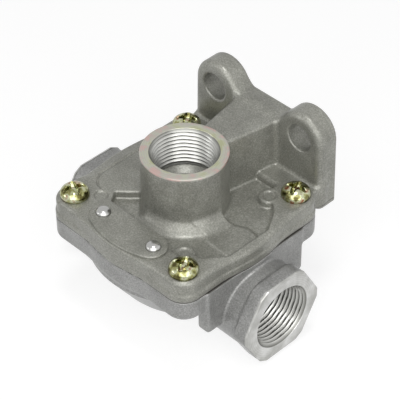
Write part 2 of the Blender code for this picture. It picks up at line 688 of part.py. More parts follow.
def rivet(name, at, material):
    under = RIVET_UNDER
    r = RIVET_HEAD_D / 2
    shank = RIVET_SHANK_D / 2
    profile = [(r * math.sin(a), under + RIVET_HEAD_H * math.cos(a))
               for a in (math.radians(18 * i) for i in range(6))]
    profile += [(shank, under), (shank, under - RIVET_L + 0.4), (shank - 0.4, under - RIVET_L),
                (0, under - RIVET_L)]
    obj = turned(name, profile, SMALL_SEGMENTS, VALVE, material)
    obj.location = (at[0] * MM, at[1] * MM, 0)
    smooth(obj)
    return obj


def build():
    global VALVE, CUTTERS
    clear_scene()
    VALVE = new_collection("quick_exhaust_valve")
    CUTTERS = new_collection("cutters")
    casting = finish("die_cast_aluminium", "87887F", 0.55, 0.6)
    zinc = finish("yellow_zinc_plate", "B9A85A", 0.3, 1.0)
    plate = finish("plain_aluminium_sheet", "8C8D85", 0.5, 0.7)
    bright = finish("bright_steel", "C9C9C9", 0.2, 1.0)
    rubber = finish("black_nitrile_rubber", "1D1D1E", 0.65, 0.0)

    upper_housing(casting)
    lower_housing(casting)
    diaphragm(rubber)
    sealing_ring(rubber)
    for where, at in screw_positions().items():
        screw(where, at, zinc)
    rating_plate(plate)
    for side, at in rivet_places().items():
        rivet(f"plate_rivet_{side}", at, bright)
    for obj in VALVE.objects:
        obj.location = [place - part * MM for place, part in zip(obj.location, ORIGIN)]


build()
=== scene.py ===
"""Visual model of a quick exhaust valve for air brakes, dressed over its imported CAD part.

Sizes are in millimetres, measured from where the valve's axis crosses the joint between the castings:
+X along the right delivery port, +Y towards the bracket's ears, +Z up the inlet port. Finished meshes are
in metres and moved by ORIGIN, as the CAD part is.

The two die castings have fillets of many sizes where boss, web, ears, necks and flanges meet. A surface
with two parameters can't follow those joins, so each casting is the zero level of one blended distance
function, worked out with numpy on a grid. Every other piece is a surface with two parameters.
"""

import math

import bpy
import numpy as np
from mathutils import Matrix, Vector


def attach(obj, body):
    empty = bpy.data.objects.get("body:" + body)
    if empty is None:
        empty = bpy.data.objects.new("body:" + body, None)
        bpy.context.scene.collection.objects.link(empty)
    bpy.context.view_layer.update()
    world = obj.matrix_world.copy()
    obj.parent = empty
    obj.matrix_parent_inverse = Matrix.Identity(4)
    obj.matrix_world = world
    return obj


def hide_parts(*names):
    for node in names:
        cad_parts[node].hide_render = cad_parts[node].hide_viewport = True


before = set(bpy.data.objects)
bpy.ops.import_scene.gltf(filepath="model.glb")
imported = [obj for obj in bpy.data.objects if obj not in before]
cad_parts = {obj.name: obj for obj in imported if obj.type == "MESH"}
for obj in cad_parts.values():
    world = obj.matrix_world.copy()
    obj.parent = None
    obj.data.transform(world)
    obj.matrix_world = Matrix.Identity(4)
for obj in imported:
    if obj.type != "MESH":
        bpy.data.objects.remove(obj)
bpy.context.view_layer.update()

MM = 0.001
ORIGIN = np.array([0.0, 3.55, -33.3])

# Flanges
SCREW_AT = 24.9               # distance of each screw from the valve's two middle planes
CORNER_R = 6.5
BULGE_R = 32.85               # round swelling at the middle of each side
BULGE_FILLET = 1.4            # where the swelling meets the straight sides
TOP = 7.7
EDGE_R = 1.3                  # rounding of the deck's outer edge
LOWER_TOP = -0.12             # the joint is drawn tighter than the CAD part's clearance
LOWER_BOTTOM = -7.7
JOINT_EDGE = 0.3              # chamfer of both castings at the joint
LIP_Z = 2.55                  # below this the upper flange stands a little proud
LIP_STEP = 0.4

# Inlet boss and thread
BOSS_R = 14.2
BOSS_TOP = 25.9
CAST_TOP = 25.45              # above this the boss is machined
THREAD_MINOR = 10.2
THREAD_MAJOR = 10.85
MOUTH_R = 11.35
PITCH = 1.5
THREAD_L = 14.0
THREAD_RING_R = 11.5          # room in the casting for the thread's own piece
PASSAGE_R = 7.0
CONE_RUN = 1.5                # between the thread and its passage

# Bracket and web
EAR_X = 19.0
EAR_Z = 23.3
EAR_R = 9.05
EAR_HOLE_R = 4.8
BRACKET_Y = 32.0
BRACKET_BACK = 40.0
BRACKET_BOTTOM = -1.5
BRACKET_ROUND = 2.2           # its front edge
VALLEY_R = 3.6                # fillets between the ears
WEB_TOP = 24.8
WEB_HALF = 5.6                # half its width where it leaves the boss, at WEB_FROM_Y
WEB_FROM_Y = 14.4
WEB_SPREAD = 0.203            # growth of that half width for each mm towards the bracket
DRAFT = 0.04                  # the same for each mm downwards, so that the casting leaves its die

# Ports
PORT_Z = -16.6
PORT_FACE = 43.4
COLLAR_BACK = 37.9
COLLAR_FLAT = 15.0
COLLAR_CORNER = 16.3
NECK_R = 14.6
MACHINED = 0.45               # thickness of the machined layer at each face, a piece of its own

# Bowl and exhaust
BOWL_PROFILE = [(-5, -4), (31.4, -4), (31.4, -9.3), (30.6, -10.4), (23.2, -21.2), (21.5, -23.3), (-5, -23.3)]
BOWL_ROUND = 0.9              # the bowl is the profile grown by this, which rounds its corners
EXHAUST_FACE = -33.3
EXHAUST_BOSS_R = 14.0
SCREW_HOLE_R = 2.8
COS30 = math.cos(math.radians(30))


# Meshes

def mesh_object(name, points, faces, material, smooth_angle=None):
    """A smooth-shaded object at the origin from points in mm, measured from the valve's axis and joint."""
    mesh = bpy.data.meshes.new(name)
    mesh.vertices.add(len(points))
    mesh.vertices.foreach_set("co", ((points - ORIGIN) * MM).ravel())
    faces = np.asarray(faces)
    mesh.loops.add(faces.size)
    mesh.loops.foreach_set("vertex_index", faces.ravel())
    mesh.polygons.add(len(faces))
    mesh.polygons.foreach_set("loop_start", np.arange(0, faces.size, faces.shape[1]))
    mesh.polygons.foreach_set("loop_total", np.full(len(faces), faces.shape[1]))
    mesh.update(calc_edges=True)
    mesh.validate()
    mesh.shade_smooth()
    if smooth_angle is not None:
        mesh.set_sharp_from_angle(angle=math.radians(smooth_angle))
    obj = bpy.data.objects.new(name, mesh)
    bpy.context.scene.collection.objects.link(obj)
    mesh.materials.append(material)
    return obj


def grid_faces(rows, columns, ring=False):
    """Quads of a grid of rows by columns, whose last column joins the first; in a ring the rows do too."""
    r, c = np.meshgrid(np.arange(rows if ring else rows - 1), np.arange(columns), indexing="ij")
    here, above, right = r * columns, (r + 1) % rows * columns, (c + 1) % columns
    return np.stack([here + c, here + right, above + right, above + c], axis=-1).reshape(-1, 4)


def capped_faces(rows, columns):
    """The grid's quads, its first and last row closed by quads that run from one side to the other."""
    i = np.arange(columns // 2 - 1)
    cap = np.stack([i, i + 1, columns - 2 - i, columns - 1 - i], axis=1)
    return np.concatenate([grid_faces(rows, columns), cap[:, ::-1], cap + (rows - 1) * columns])


# Distance functions: below zero inside a solid, above zero outside it

def join(a, b, r):
    """Union of two solids with a concave fillet of radius r where they meet."""
    meet = np.hypot(np.maximum(r - a, 0), np.maximum(r - b, 0))
    return np.maximum(r, np.minimum(a, b)) - meet


def overlap(a, b, r):
    """What two solids share, with its edge rounded to radius r."""
    meet = np.hypot(np.maximum(r + a, 0), np.maximum(r + b, 0))
    return np.minimum(-r, np.maximum(a, b)) + meet


def cut(a, b, r):
    """Solid a without solid b, the rim of the cut rounded to radius r."""
    return overlap(a, -b, r)


def polygon(u, v, corners):
    """Signed distance to a closed polygon: the least distance to a side, its sign from crossings counted."""
    corners = np.asarray(corners, float)
    nearest = None
    sign = None
    for (ax, ay), (bx, by) in zip(corners, np.roll(corners, -1, axis=0)):
        ex, ey = bx - ax, by - ay
        wx, wy = u - ax, v - ay
        along = np.clip((wx * ex + wy * ey) / (ex * ex + ey * ey), 0, 1)
        square = (wx - ex * along) ** 2 + (wy - ey * along) ** 2
        above, below = v >= ay, v < by
        left = ex * wy > ey * wx
        flip = np.where((above & below & left) | (~above & ~below & ~left), -1.0, 1.0)
        nearest = square if nearest is None else np.minimum(nearest, square)
        sign = flip if sign is None else sign * flip
    return sign * np.sqrt(nearest)


def path_distance(u, v, corners):
    """Distance to an open run of straight lines."""
    corners = np.asarray(corners, float)
    nearest = None
    for (ax, ay), (bx, by) in zip(corners[:-1], corners[1:]):
        ex, ey = bx - ax, by - ay
        along = np.clip(((u - ax) * ex + (v - ay) * ey) / (ex * ex + ey * ey), 0, 1)
        square = (u - ax - ex * along) ** 2 + (v - ay - ey * along) ** 2
        nearest = square if nearest is None else np.minimum(nearest, square)
    return np.sqrt(nearest)


def rounded_box(u, v, half_u, half_v, r):
    """Distance to a rectangle about zero whose corners have radius r."""
    qu, qv = np.abs(u) - (half_u - r), np.abs(v) - (half_v - r)
    return np.hypot(np.maximum(qu, 0), np.maximum(qv, 0)) + np.minimum(np.maximum(qu, qv), 0) - r


def flange_outline(x, y):
    """Square with round corners about the screws, swelling out to a circle in the middle of each side."""
    half = SCREW_AT + CORNER_R
    return join(rounded_box(x, y, half, half, CORNER_R), np.hypot(x, y) - BULGE_R, BULGE_FILLET)


def skin(field, low, high, cell):
    """Points and quads where field(x, y, z) is zero: one point in each grid cell that the surface crosses,
    moved onto it along the slope of the field, and one quad around each crossed grid edge."""
    axes = [np.arange(a, b + cell, cell) for a, b in zip(low, high)]
    value = field(axes[0][:, None, None], axes[1][None, :, None], axes[2][None, None, :])
    inside = value < 0
    corners = sum(inside[i:i - 1 or None, j:j - 1 or None, k:k - 1 or None].astype(np.int8)
                  for i in (0, 1) for j in (0, 1) for k in (0, 1))
    crossed = (corners > 0) & (corners < 8)
    number = np.full(crossed.shape, -1)
    number[crossed] = np.arange(crossed.sum())
    cells = np.argwhere(crossed)
    total = np.zeros((len(cells), 3))
    hits = np.zeros(len(cells))
    unit = np.eye(3, dtype=int)
    for axis in range(3):
        one, two = unit[(axis + 1) % 3], unit[(axis + 2) % 3]
        for shift in (0 * one, one, two, one + two):
            start = cells + shift
            a = value[tuple(start.T)]
            b = value[tuple((start + unit[axis]).T)]
            cross = (a < 0) != (b < 0)
            t = np.where(cross, a / np.where(cross, a - b, 1), 0)
            total += np.where(cross[:, None], start + t[:, None] * unit[axis], 0)
            hits += cross
    points = np.array([a[0] for a in axes]) + cell * total / hits[:, None]
    step = 0.02 * cell
    for _ in range(3):        # each time towards the surface along the slope, at most 0.4 of a cell
        here = field(*points.T)
        slope = np.stack([(field(*(points + step * unit[a]).T) - field(*(points - step * unit[a]).T))
                          / (2 * step) for a in range(3)], axis=1)
        size = np.maximum((slope ** 2).sum(axis=1), 0.05)
        move = slope * (here / size)[:, None]
        length = np.linalg.norm(move, axis=1, keepdims=True)
        points -= move * np.minimum(1, 0.4 * cell / np.maximum(length, 1e-9))
    quads = []
    for axis in range(3):
        one, two = (axis + 1) % 3, (axis + 2) % 3
        ahead = np.moveaxis(inside, axis, 0)
        edge = np.moveaxis(ahead[:-1] != ahead[1:], 0, axis)
        found = np.argwhere(edge)
        keep = (found[:, one] > 0) & (found[:, two] > 0)
        keep &= (found[:, one] < number.shape[one]) & (found[:, two] < number.shape[two])
        found = found[keep]
        ring = [found - unit[one] - unit[two], found - unit[two], found, found - unit[one]]
        quad = np.stack([number[tuple(c.T)] for c in ring], axis=1)
        outwards = inside[tuple(found.T)]
        quads.append(np.where(outwards[:, None], quad, quad[:, ::-1]))
    return points, np.concatenate(quads)


# The upper casting. Its deck's outlines are seen from above, as x, y.

FRONT_RECESS = [(-6.0, -21.0), (-6.0, -10.0), (10, -4), (18.6, -8.5), (29.2, -9.2), (28.6, -11.2),
                (24.5, -16.6), (20.5, -18.2), (17.2, -21.2), (13.0, -21.8), (11.0, -19.8)]
FRONT_POCKET = [(-16.9, -15.1), (-16.6, -14.4), (-15.4, -13.2), (-14.0, -12.0), (-11.5, -9.5), (-5, -6),
                (-2, -10), (-2, -18.5), (-14.6, -18.5)]
SEAT = [(8, -12), (17.5, -12), (20, -9.8), (29.2, -10.4), (29.2, 5), (8, 5)]
REAR_POCKET = [(4, 27.1), (4, 12), (12, 2), (19.9, 2.4), (21.8, 3.6), (23.6, 4.4), (26.6, 4.1), (29.2, 3.6),
               (29.2, 7.5), (27.7, 10.6), (25.8, 13.3), (23.7, 15.9), (21.4, 17.3), (18.9, 19.6),
               (17.3, 22.4), (16.7, 25.0), (17.0, 26.4)]
LEFT_SEAM = [(-27.0, 14), (-27.0, 4.6), (-27.2, -8.5), (-27.2, -12.1), (-25.9, -14.4), (-23.6, -16.2),
             (-20.6, -16.7)]
RIGHT_SEAM = [(29.2, 7.5), (29.2, -8.6), (28.6, -11.2), (24.5, -16.6), (20.5, -18.2)]
SEAM_HALF = 0.28              # half width of these fine grooves in the deck
SEAM_DEPTH = 0.55
FLOOR_Z = 5.0                 # level of the pockets' floor
SEAT_Z = 5.45                 # level of the seat right of the boss
BUTTON_AT = 19.0              # the dished ejector marks beside the screws
BUTTON_R = 3.6
BUTTON_DROP = 0.3
DISH_R = 2.2
DISH_DROP = 0.6
FILLET_R = 5.5                # wide fillet at the front and right of the boss
FILLET_LEFT_R = 0.6
RIM_X = 27.4                  # outside this the deck slopes down towards both ports
RIM_SLOPE = 0.24
RIM_END_Y = 19                # the slope fades out over RIM_FADE before it gets here
RIM_FADE = 5
BELL = [(-5, -12), (17, -12), (17, 2.2), (15, 4.2), (7, 7.2), (-5, 7.2)]      # room over the diaphragm
GROOVE_R = (19.5, 24)         # the groove that the lower casting's rim and its ring sit in
GROOVE_TOP = 2.4
SPIGOT_R, SPIGOT_T = 18.25, 2.5           # ring that presses on the diaphragm's rim: middle radius, width
SPIGOT_Z, SPIGOT_H = 0.95, 3.1            # its middle and height
LEFT_WALL = (0.697, 0.717, 13.0)          # end wall of the left rear pocket: x, y of its normal, distance
FOOT_X = 28.3                 # block that fills the corner between the flange and the bracket
FOOT_Y, FOOT_T = 30, 12


def smooth_step(start, end, value):
    """0 at start, 1 at end, easing in and out between them."""
    t = np.clip((value - start) / (end - start), 0, 1)
    return t * t * (3 - 2 * t)


def bore_profile(radius, height, face, low):
    """Room for the thread's ring, the cone behind it and the passage down to the height low."""
    end, past = face - THREAD_L, face + 5
    return polygon(radius, height, [(-5, low), (PASSAGE_R, low), (PASSAGE_R, end - CONE_RUN),
                                    (THREAD_MINOR, end), (THREAD_RING_R, end), (THREAD_RING_R, past),
                                    (-5, past)])


def deck_height(x, y):
    """Level of the deck: flat, sloping down outside the seams between the screws."""
    fade = np.clip((RIM_END_Y - np.abs(y)) / RIM_FADE, 0, 1)
    return TOP - RIM_SLOPE * np.maximum(np.abs(x) - RIM_X, 0) * fade * fade * (3 - 2 * fade)


def upper_flange(x, y, z):
    """Flange with a thin lip at its foot, which stands proud all round except in front of the plate."""
    outline = flange_outline(x, y)
    lip = np.maximum(overlap(outline, z - LIP_Z, 0.3), (outline - z + JOINT_EDGE) * 0.7)
    by_plate = smooth_step(18.5, 14.0, np.abs(x)) * smooth_step(-20, -26, y)
    flange = overlap(outline + LIP_STEP * (1 - by_plate), z - deck_height(x, y), EDGE_R - 0.9 * by_plate)
    return np.maximum(np.minimum(flange, lip), -z)


def front_hollow(x, y, z):
    """Recess in front of the boss with its left end, and the seat right of the boss, as one hollow."""
    recess = np.minimum(polygon(x, y, FRONT_RECESS), polygon(x, y, FRONT_POCKET))
    recess = overlap(recess, FLOOR_Z - z, 0.5)
    seat = overlap(polygon(x, y, SEAT), SEAT_Z - z, 0.4)
    return np.minimum(recess, seat)


def rear_hollow(x, y, z):
    """Pockets on both sides of the boss and web; a slanted wall ends the left one short of the front."""
    left_end = -LEFT_WALL[2] - LEFT_WALL[0] * x - LEFT_WALL[1] * y
    pocket = overlap(polygon(np.abs(x), y, REAR_POCKET), BOSS_R - np.hypot(x, y), 1.0)
    return np.maximum(overlap(pocket, FLOOR_Z - z, 1.0), left_end)


def web(x, y, z):
    """Web from the boss to the bracket, growing wider towards the bracket and downwards."""
    half = WEB_HALF + (y - WEB_FROM_Y) * WEB_SPREAD + (WEB_TOP - z) * DRAFT
    solid = overlap(np.abs(x) - half, z - WEB_TOP, 0.6)
    return np.maximum(np.maximum(solid, 8 - y), np.maximum(y - 36, 2 - z))


def bracket(x, y, z):
    """Plate with two round ears and a valley between them, seen from the front, given its thickness."""
    side = EAR_X + EAR_R + (EAR_Z - z) * 0.02
    ears = np.hypot(np.abs(x) - EAR_X, z - EAR_Z) - EAR_R
    sheet = np.maximum(np.abs(x) - side, z - EAR_Z)
    valley = np.maximum(np.abs(x) - EAR_X, z - WEB_TOP)
    plan = join(np.minimum(ears, sheet), valley, VALLEY_R)
    plate = overlap(overlap(plan, BRACKET_Y - y, BRACKET_ROUND), y - BRACKET_BACK, 0.6)
    return np.maximum(plate, BRACKET_BOTTOM - z)


def upper_inside(body, radius, z):
    """The body with the inlet's bore, the bell over the diaphragm, the ring's groove and the spigot in it."""
    groove = np.maximum(np.maximum(GROOVE_R[0] - radius, radius - GROOVE_R[1]), z - GROOVE_TOP)
    bore = bore_profile(radius, z, BOSS_TOP, 0.0)
    hollow = np.minimum(bore, np.minimum(polygon(radius, z, BELL), groove))
    spigot = np.maximum(np.abs(radius - SPIGOT_R) - SPIGOT_T / 2, np.abs(z - SPIGOT_Z) - SPIGOT_H / 2)
    return np.maximum(np.minimum(body, spigot), -hollow)


def upper_field(x, y, z):
    """Flange, boss on a wide fillet, web, buttons and bracket joined, with the pockets and holes cut."""
    body = cut(upper_flange(x, y, z), front_hollow(x, y, z), 0.25)
    radius = np.hypot(x, y)
    boss = overlap(radius - BOSS_R, z - CAST_TOP, 0.1)
    body = join(body, boss, FILLET_LEFT_R + (FILLET_R - FILLET_LEFT_R) * smooth_step(-10, -2, x))
    body = cut(body, rear_hollow(x, y, z), 0.5)

    seam = np.minimum(path_distance(x, y, LEFT_SEAM), path_distance(x, y, RIGHT_SEAM)) - SEAM_HALF
    body = cut(body, np.maximum(seam, deck_height(x, y) - SEAM_DEPTH - z), 0.1)
    body = join(body, web(x, y, z), 0.8)

    button = np.hypot(np.abs(x) - BUTTON_AT, np.abs(y) - BUTTON_AT)
    under_plate = 2.0 * ((x < 0) & (y < 0))
    knob = overlap(button - BUTTON_R, z - (TOP - BUTTON_DROP - under_plate), 0.5)
    body = join(body, np.maximum(knob, 2 - z), 0.5)
    body = cut(body, np.maximum(button - DISH_R, TOP - DISH_DROP - z), 0.2)

    foot = overlap(overlap(np.abs(x) - FOOT_X, z - TOP, 0.5), np.abs(y - FOOT_Y) - FOOT_T / 2, 1.5)
    body = np.minimum(body, np.maximum(foot, -z))
    body = join(body, bracket(x, y, z), 1.5)
    holes = np.hypot(np.abs(x) - EAR_X, z - EAR_Z) - EAR_HOLE_R
    body = cut(body, np.maximum(holes, 20 - y), 0.35)
    return upper_inside(body, radius, z)


# The lower casting. Its profiles are radius, z about the valve's axis.

CHAMBER = [(9.5, 4), (24, 4), (24, -7.2), (20, -9.2), (20, -18.3), (17, -21.3), (9.5, -21.3)]
EXHAUST = [(-5, 4), (6.5, 4), (6.5, -26.3), (10, -28.3), (10, -36), (-5, -36)]
RIB_T = 2.0                   # six ribs stand in the chamber round the exhaust seat
RIB_TOP = -7.2
RIB_OUT_R = 22
OVER_RIBS = (23, -6)          # radius and floor of the open room above them
SLAB_X, SLAB_T = 29.5, 4.6    # upright slab behind each collar: its middle and thickness
SLAB_Y, SLAB_H = 21.6, 20.0   # its half width and height
SLAB_Z, SLAB_R = -7.6, 1.6    # its middle's level and corners
NECK_FROM_X = 8               # inside the bowl
BORE_FROM_X = 12.0            # where each port's passage meets the chamber
REAR_Y = 31.6                 # the casting ends here, clear of the bracket
RING_R, RING_W, RING_Z = 27.3, 3.2, -2.8  # groove of the sealing ring: middle radius, width and floor


def collar_outline(y, z):
    """Hexagon of the spanner collar with level flats above and below, its corners cut further out."""
    u, v = np.abs(y), np.abs(z - PORT_Z)
    flats = np.maximum(v, u * COS30 + v * 0.5) - COLLAR_FLAT
    corners = np.maximum(u, u * 0.5 + v * COS30) - COLLAR_CORNER
    return overlap(flats, corners, 0.6)


def lower_inside(x, y, z):
    """Both ports' bores, the ribbed chamber, the exhaust, the ring's groove and the screw holes."""
    radius, across = np.hypot(x, y), np.abs(x)
    bores = bore_profile(np.hypot(y, z - PORT_Z), across, PORT_FACE, BORE_FROM_X)
    turn = np.arctan2(y, x) * 3
    ribs = np.maximum(np.abs(np.cos(turn)) * radius / 3 - RIB_T / 2, z - RIB_TOP)
    chamber = np.maximum(polygon(radius, z, CHAMBER), -np.maximum(ribs, radius - RIB_OUT_R))
    over_ribs = np.maximum(radius - OVER_RIBS[0], OVER_RIBS[1] - z)
    hollow = np.minimum(np.minimum(bores, chamber), np.minimum(over_ribs, polygon(radius, z, EXHAUST)))
    groove = np.maximum(np.abs(radius - RING_R) - RING_W / 2, RING_Z - z)
    holes = np.hypot(across - SCREW_AT, np.abs(y) - SCREW_AT) - SCREW_HOLE_R
    return np.minimum(hollow, np.minimum(groove, holes))


def lower_field(x, y, z):
    """Flange, bowl, exhaust boss, slabs, necks and collars, joined with fillets and hollowed out."""
    radius, across = np.hypot(x, y), np.abs(x)
    outline = flange_outline(x, y)
    flange = overlap(outline, LOWER_BOTTOM - z, 1.5)
    flange = np.maximum(flange, np.maximum(z - LOWER_TOP, (outline + z - LOWER_TOP + JOINT_EDGE) * 0.7))
    bowl = polygon(radius, z, BOWL_PROFILE) - BOWL_ROUND
    boss = np.maximum(overlap(radius - EXHAUST_BOSS_R, EXHAUST_FACE - z, 0.8), z + 10)
    body = join(join(bowl, boss, 2.0), flange, 0.8)

    slab = rounded_box(y, z - SLAB_Z, SLAB_Y, SLAB_H / 2, SLAB_R)
    body = join(body, overlap(np.abs(across - SLAB_X) - SLAB_T / 2, slab, 0.9), 0.8)
    neck = overlap(np.hypot(y, z - PORT_Z) - NECK_R, across - COLLAR_BACK - 0.3, 0.2)
    body = join(body, np.maximum(neck, NECK_FROM_X - across), 0.6)
    end = PORT_FACE - MACHINED
    middle, half = (end + COLLAR_BACK) / 2, (end - COLLAR_BACK) / 2
    collar = overlap(collar_outline(y, z), np.abs(across - middle) - half, 0.35)
    body = join(body, collar, 0.25)
    body = np.maximum(body, np.maximum(y - REAR_Y, z - LOWER_TOP))
    return np.maximum(body, -lower_inside(x, y, z))


# Machined threads and faces

THREAD_SIDES = 192
THREAD_RUN_IN = 1.5           # the thread grows to its full depth over this length
MOUTH_TO_EDGE = 0.35          # width of the rounded edge outside the flat face
FACE_T = 0.7                  # how far the machined face reaches down round its edge
RAW_AT, RAW_SPREAD = 3.55, 0.3      # where round a collar its edge is chipped, in radians


def axis_frame(points, axis):
    """Turns points made about +Z so that they lie about the inlet's axis or a delivery port's axis."""
    x, y, z = points[..., 0], points[..., 1], points[..., 2]
    if axis == "inlet":
        return np.stack([x, y, z], axis=-1)
    side = 1 if axis == "right" else -1
    return np.stack([side * z, side * x, y + PORT_Z], axis=-1)


def threaded_face(name, face, outer, axis, material):
    """Thread, mouth and machined face as one closed ring: rows of circles whose radius is the thread's
    wave of (height - pitch * angle / turn), then the mouth's cone, then out across the face to outer(angle)
    and back underneath."""
    angle = np.linspace(0, 2 * np.pi, THREAD_SIDES, endpoint=False)
    height = np.arange(face - THREAD_L, face, PITCH / 12)
    phase = (height[:, None] / PITCH - angle[None, :] / (2 * np.pi)) % 1
    wave = np.clip(1.35 * np.abs(2 * phase - 1) - 0.12, 0, 1)     # flat crests and roots, straight flanks
    fade = np.clip((height - height[0]) / THREAD_RUN_IN, 0, 1)[:, None]
    radius = THREAD_MINOR + (THREAD_MAJOR - THREAD_MINOR) * wave * fade
    radius = np.maximum(radius, MOUTH_R - (face - height)[:, None])
    edge = outer(angle)
    wall = np.full_like(angle, THREAD_RING_R + 0.3)
    out = [(MOUTH_R + (edge - MOUTH_TO_EDGE - MOUTH_R) * t, face) for t in (0.0, 0.25, 0.5, 0.75, 1.0)]
    back = [(edge - 0.12, face - 0.08), (edge + 0.01, face - 0.32), (edge + 0.01, face - FACE_T),
            (edge - 0.6, face - FACE_T), (wall, face - FACE_T)]
    path = [*zip(radius, height), *out, *back, (wall, height[0])]
    path.reverse()            # so that the faces point out of the metal
    points = np.stack([np.stack([r * np.cos(angle), r * np.sin(angle), np.full_like(angle, h)], axis=-1)
                       for r, h in path])
    faces = grid_faces(len(path), THREAD_SIDES, ring=True)
    return mesh_object(name, axis_frame(points, axis).reshape(-1, 3), faces, material, 40)


def round_edge(angle):
    """Distance from the inlet's axis to the boss's outline: the same all round."""
    return np.full_like(angle, BOSS_R)


def collar_edge(angle):
    """Distance from the port's axis to the collar's outline at each angle, less a raw, chipped stretch."""
    sixth = (angle + np.pi / 6) % (np.pi / 3) - np.pi / 6
    corner = COLLAR_CORNER / np.cos(sixth)
    flat = COLLAR_FLAT / np.cos(np.pi / 6 - np.abs(sixth))
    chips = 0.22 + 0.14 * np.sin(61 * angle) + 0.1 * np.sin(97 * angle)
    return np.minimum(flat, corner) - chips * np.exp(-((angle - RAW_AT) / RAW_SPREAD) ** 2)


# Small pieces

PLATE_TOP = 8.6
PLATE_SUNK = 0.1              # the plate starts this far below the deck
PLATE_OUTER_R = 32.3
PLATE_INNER_Y = 19.4          # distance of its straight edge from the valve's axis
PLATE_END_X = 10.4            # centre of each round end
PLATE_ROUND = 0.35
RIVET_X, RIVET_Y = 11.45, -24.8
RIVET_R, RIVET_H = 2.5, 1.6
POLE_R = 0.02                 # a turned piece ends in a flat of this radius
DOME_R = 4.3                  # a screw's dome; its side follows below, as radius, height over the deck
SCREW_TOP = 3.7
SCREW_SIDE = np.array([(4.55, 1.85), (4.74, 1.35), (4.83, 0.8), (4.82, 0.3), (4.7, 0.06), (4.4, 0.0),
                       (2.5, 0.0), (2.5, -13.2), (1.7, -14.0), (POLE_R, -14.0)])
CROSS_ARM = 3.6
CROSS_DEPTH = 2.3
CROSS_HALF = 1.15             # half width of the cross's arms in the middle, less CROSS_TAPER for each mm out
CROSS_TAPER = 0.14
SCREW_TURNS = {"front_left": 1.15, "front_right": 0.45, "rear_right": 0.28, "rear_left": 0.6}


def turned_piece(name, radius, height, centre, material, segments=64, lift=None):
    """Rings of the given radius and height about a vertical axis; lift(x, y) lowers or raises points."""
    angle = np.linspace(0, 2 * np.pi, segments, endpoint=False)
    x = radius[:, None] * np.cos(angle)
    y = radius[:, None] * np.sin(angle)
    z = np.broadcast_to(height[:, None], x.shape).copy()
    if lift is not None:
        z = z + lift(x, y)
    points = np.stack([x + centre[0], y + centre[1], z], axis=-1).reshape(-1, 3)
    return mesh_object(name, points, capped_faces(len(radius), segments), material, 45)


def cross_recess(x, y, turn):
    """How far a cross recess lowers the dome: two slots with sloping walls and ends, turned by an angle,
    the deeper of them counting, and shallower away from the middle."""
    u = x * math.cos(turn) + y * math.sin(turn)
    v = y * math.cos(turn) - x * math.sin(turn)
    slots = []
    for along, across in ((u, v), (v, u)):
        width = CROSS_HALF - CROSS_TAPER * np.abs(along)
        slot = np.clip((width - np.abs(across)) / 0.3, 0, 1)
        slots.append(slot * np.clip((CROSS_ARM - np.abs(along)) / 1.5, 0, 1))
    return -CROSS_DEPTH * np.maximum(slots[0], slots[1]) * (1 - 0.1 * np.hypot(x, y))


def screw_head(name, centre, turn, material):
    """Pan head on its shank: a dome whose height falls with the radius, lowered by the cross recess."""
    dome_r = np.linspace(POLE_R, DOME_R, 56)
    dome_z = SCREW_TOP - 0.052 * dome_r ** 2 - 0.0016 * dome_r ** 4
    radius = np.concatenate([dome_r, SCREW_SIDE[:, 0]])[::-1]
    height = np.concatenate([dome_z, SCREW_SIDE[:, 1]])[::-1] + TOP
    on_dome = (np.arange(len(radius)) >= len(SCREW_SIDE))[:, None]
    return turned_piece(name, radius, height, centre, material, 112,
                        lambda x, y: np.where(on_dome, cross_recess(x, y, turn), 0))


def rivet_head(name, centre, material):
    """Dome of a drive rivet, a little flat on top, on its shank."""
    angle = np.linspace(0.5, 90, 14) * np.pi / 180
    radius = np.concatenate([RIVET_R * np.sin(angle), [2.45, 1.3, 1.3, POLE_R]])[::-1]
    height = np.concatenate([RIVET_H * np.cos(angle) ** 0.8, [-0.02, -0.02, -3.9, -3.9]])[::-1] + PLATE_TOP
    return turned_piece(name, radius, height, centre, material, 48)


def rating_plate(name, material):
    """Sheet between a straight inner edge, two round ends and an outer arc about the valve's axis: rows of
    that closed outline go up its side, in over a rounded edge and halfway to its middle line."""
    end_r = (PLATE_OUTER_R ** 2 - PLATE_END_X ** 2 - PLATE_INNER_Y ** 2) / (
        2 * (PLATE_OUTER_R + PLATE_INNER_Y))
    end = np.array([PLATE_END_X, -PLATE_INNER_Y - end_r])
    reach = math.atan2(end[1], end[0])
    outer = np.linspace(-math.pi - reach, reach, 60)
    right = np.linspace(reach, math.pi / 2, 24)[1:]
    left = np.linspace(math.pi / 2, math.pi - reach, 24)
    top = np.linspace(1, -1, 40)[1:-1]
    outline = np.concatenate([
        np.stack([PLATE_OUTER_R * np.cos(outer), PLATE_OUTER_R * np.sin(outer)], axis=1),
        np.stack([end[0] + end_r * np.cos(right), end[1] + end_r * np.sin(right)], axis=1),
        np.stack([end[0] * top, np.full_like(top, end[1] + end_r)], axis=1),
        np.stack([-end[0] + end_r * np.cos(left), end[1] + end_r * np.sin(left)], axis=1)[:-1]])
    spine = np.stack([np.clip(outline[:, 0], -end[0], end[0]),
                      end[1] - 1.6 * np.cos(outline[:, 0] / 22) ** 2], axis=1)
    ahead = np.roll(outline, -1, axis=0) - np.roll(outline, 1, axis=0)
    normal = np.stack([ahead[:, 1], -ahead[:, 0]], axis=1) / np.linalg.norm(ahead, axis=1)[:, None]
    low = TOP - PLATE_SUNK
    edge = [(outline - PLATE_ROUND * (1 - math.cos(t)) * normal, PLATE_TOP - PLATE_ROUND * (1 - math.sin(t)))
            for t in np.linspace(0, math.pi / 2, 5)]
    rows = [(outline, low), *edge, ((edge[-1][0] + spine) / 2, PLATE_TOP)]
    points = np.concatenate([np.column_stack([flat, np.full(len(outline), h)]) for flat, h in rows])
    return mesh_object(name, points, capped_faces(len(rows), len(outline)), material, 40)


# Materials

